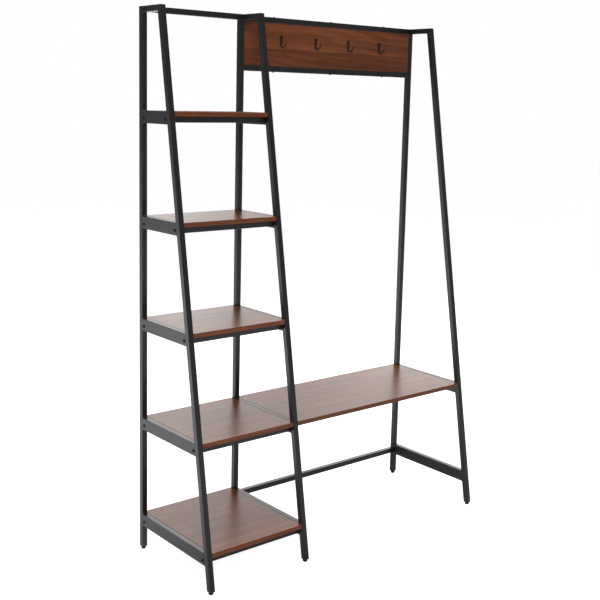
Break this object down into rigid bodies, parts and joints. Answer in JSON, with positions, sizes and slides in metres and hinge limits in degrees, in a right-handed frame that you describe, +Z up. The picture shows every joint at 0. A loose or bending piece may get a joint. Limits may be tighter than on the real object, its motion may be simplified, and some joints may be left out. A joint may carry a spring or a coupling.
{
  "type": "hall tree",
  "caption": "Hall tree: black square-tube frame with a tower of walnut shelves on the left, and a bench under a hook panel on the right, on levelling feet.",
  "frame": {"origin": "on the floor, at the middle of the footprint", "axes": "+X to the right seen from the front, +Y to the wall behind, +Z up"},
  "size_m": [1.213, 0.4246, 1.8022],
  "materials": {
    "frame_steel": "satin black powder coat",
    "walnut_board": "satin walnut laminate",
    "hook_iron": "black painted cast hook",
    "black_screw": "black oxide",
    "weld_steel": "plain steel",
    "foot_plastic": "black moulded plastic"
  },
  "bodies": {
    "root": {"left_rear_leg": "frame_steel", "left_front_leg": "frame_steel", "left_top_bar": "frame_steel", "left_side_rail_1": "frame_steel", "left_side_rail_2": "frame_steel", "left_side_rail_3": "frame_steel", "left_side_rail_4": "frame_steel", "left_side_rail_5": "frame_steel", "middle_rear_leg": "frame_steel", "middle_front_leg": "frame_steel", "middle_top_bar": "frame_steel", "middle_side_rail_1": "frame_steel", "middle_side_rail_2": "frame_steel", "middle_side_rail_3": "frame_steel", "middle_side_rail_4": "frame_steel", "middle_side_rail_5": "frame_steel", "right_rear_leg": "frame_steel", "right_front_leg": "frame_steel", "right_top_bar": "frame_steel", "right_side_rail_1": "frame_steel", "right_side_rail_2": "frame_steel", "shelf_front_bar_1": "frame_steel", "shelf_rear_bar_1": "frame_steel", "shelf_board_1": "walnut_board", "shelf_front_bar_2": "frame_steel", "shelf_rear_bar_2": "frame_steel", "shelf_board_2": "walnut_board", "shelf_front_bar_3": "frame_steel", "shelf_rear_bar_3": "frame_steel", "shelf_board_3": "walnut_board", "shelf_front_bar_4": "frame_steel", "shelf_rear_bar_4": "frame_steel", "shelf_board_4": "walnut_board", "shelf_front_bar_5": "frame_steel", "shelf_rear_bar_5": "frame_steel", "shelf_board_5": "walnut_board", "top_rear_bar": "frame_steel", "bench_rear_bar": "frame_steel", "bench_front_bar": "frame_steel", "bench_board": "walnut_board", "low_back_stretcher": "frame_steel", "hook_panel_top_rail": "frame_steel", "hook_panel_bottom_rail": "frame_steel", "hook_panel_board": "walnut_board", "hook_1": "hook_iron", "hook_2": "hook_iron", "hook_3": "hook_iron", "hook_4": "hook_iron", "hook_screws": "black_screw", "board_screws": "black_screw", "panel_screws": "black_screw", "frame_bolts": "black_screw", "end_nuts": "weld_steel", "leg_end_inserts": "foot_plastic"},
    "left_rear_foot": {"left_rear_foot": "foot_plastic"},
    "left_front_foot": {"left_front_foot": "foot_plastic"},
    "middle_rear_foot": {"middle_rear_foot": "foot_plastic"},
    "middle_front_foot": {"middle_front_foot": "foot_plastic"},
    "right_rear_foot": {"right_rear_foot": "foot_plastic"},
    "right_front_foot": {"right_front_foot": "foot_plastic"}
  },
  "joints": [
    {"name": "left_rear_foot_screw", "type": "slide", "parent": "root", "child": "left_rear_foot", "axis": [0, 0, -1], "range_m": [0, 0.01]},
    {"name": "left_front_foot_screw", "type": "slide", "parent": "root", "child": "left_front_foot", "axis": [0, 0, -1], "range_m": [0, 0.01]},
    {"name": "middle_rear_foot_screw", "type": "slide", "parent": "root", "child": "middle_rear_foot", "axis": [0, 0, -1], "range_m": [0, 0.01]},
    {"name": "middle_front_foot_screw", "type": "slide", "parent": "root", "child": "middle_front_foot", "axis": [0, 0, -1], "range_m": [0, 0.01]},
    {"name": "right_rear_foot_screw", "type": "slide", "parent": "root", "child": "right_rear_foot", "axis": [0, 0, -1], "range_m": [0, 0.01]},
    {"name": "right_front_foot_screw", "type": "slide", "parent": "root", "child": "right_front_foot", "axis": [0, 0, -1], "range_m": [0, 0.01]}
  ]
}
